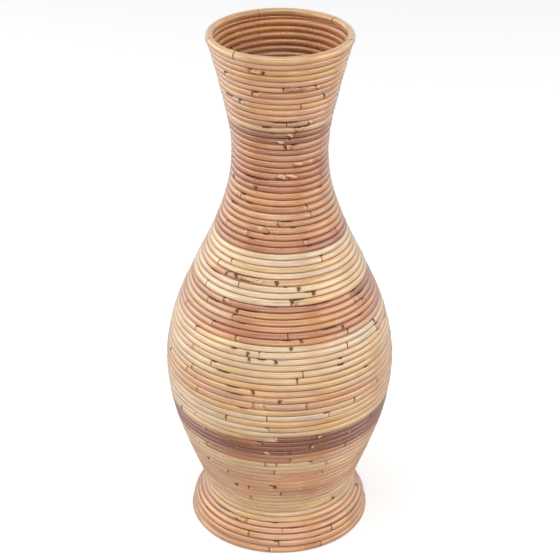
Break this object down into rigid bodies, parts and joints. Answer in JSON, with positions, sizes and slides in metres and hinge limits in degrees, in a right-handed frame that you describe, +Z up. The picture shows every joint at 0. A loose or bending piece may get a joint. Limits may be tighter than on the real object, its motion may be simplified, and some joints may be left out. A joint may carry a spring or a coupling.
{
  "type": "rattan vase",
  "caption": "Tall floor vase wound from round rattan cane, with a flared mouth, a slim neck, a round belly and a hooped foot that stands flat.",
  "frame": {"origin": "middle of the flat underside of the foot hoop, at floor level", "axes": "+Z up along the vase's axis, -Y towards the viewer of the picture, +X to the viewer's right"},
  "size_m": [0.255, 0.255, 0.6],
  "materials": {
    "cane_peach": "peach tan rattan cane, clear satin lacquer",
    "cane_pale": "pale straw rattan cane, clear satin lacquer",
    "cane_dark": "dark brown rattan cane, clear satin lacquer",
    "cane_rosy": "rosy brown rattan cane, clear satin lacquer",
    "cane_mauve": "mauve brown rattan cane, clear satin lacquer",
    "cane_golden": "golden tan rattan cane, clear satin lacquer",
    "base_board": "bare birch plywood, sanded, with a bevelled edge",
    "brad_steel": "dull steel wire brad"
  },
  "bodies": {
    "root": {"cane_01": "cane_peach", "cane_02": "cane_peach", "cane_03": "cane_pale", "cane_04": "cane_pale", "cane_05": "cane_pale", "cane_06": "cane_peach", "cane_07": "cane_peach", "cane_08": "cane_peach", "cane_09": "cane_peach", "cane_10": "cane_pale", "cane_11": "cane_pale", "cane_12": "cane_pale", "cane_13": "cane_dark", "cane_14": "cane_dark", "cane_15": "cane_dark", "cane_16": "cane_pale", "cane_17": "cane_pale", "cane_18": "cane_pale", "cane_19": "cane_pale", "cane_20": "cane_pale", "cane_21": "cane_pale", "cane_22": "cane_pale", "cane_23": "cane_pale", "cane_24": "cane_pale", "cane_25": "cane_pale", "cane_26": "cane_pale", "cane_27": "cane_rosy", "cane_28": "cane_rosy", "cane_29": "cane_rosy", "cane_30": "cane_rosy", "cane_31": "cane_pale", "cane_32": "cane_pale", "cane_33": "cane_pale", "cane_34": "cane_pale", "cane_35": "cane_mauve", "cane_36": "cane_mauve", "cane_37": "cane_mauve", "cane_38": "cane_rosy", "cane_39": "cane_rosy", "cane_40": "cane_rosy", "cane_41": "cane_golden", "cane_42": "cane_golden", "cane_43": "cane_golden", "cane_44": "cane_golden", "rim_hoop_1": "cane_golden", "rim_hoop_2": "cane_golden", "rim_hoop_3": "cane_golden", "foot_hoop_1": "cane_peach", "foot_hoop_2": "cane_peach", "base_board": "base_board", "brad_1": "brad_steel", "brad_2": "brad_steel", "brad_3": "brad_steel", "brad_4": "brad_steel", "brad_5": "brad_steel", "brad_6": "brad_steel", "brad_7": "brad_steel", "brad_8": "brad_steel"}
  },
  "joints": []
}
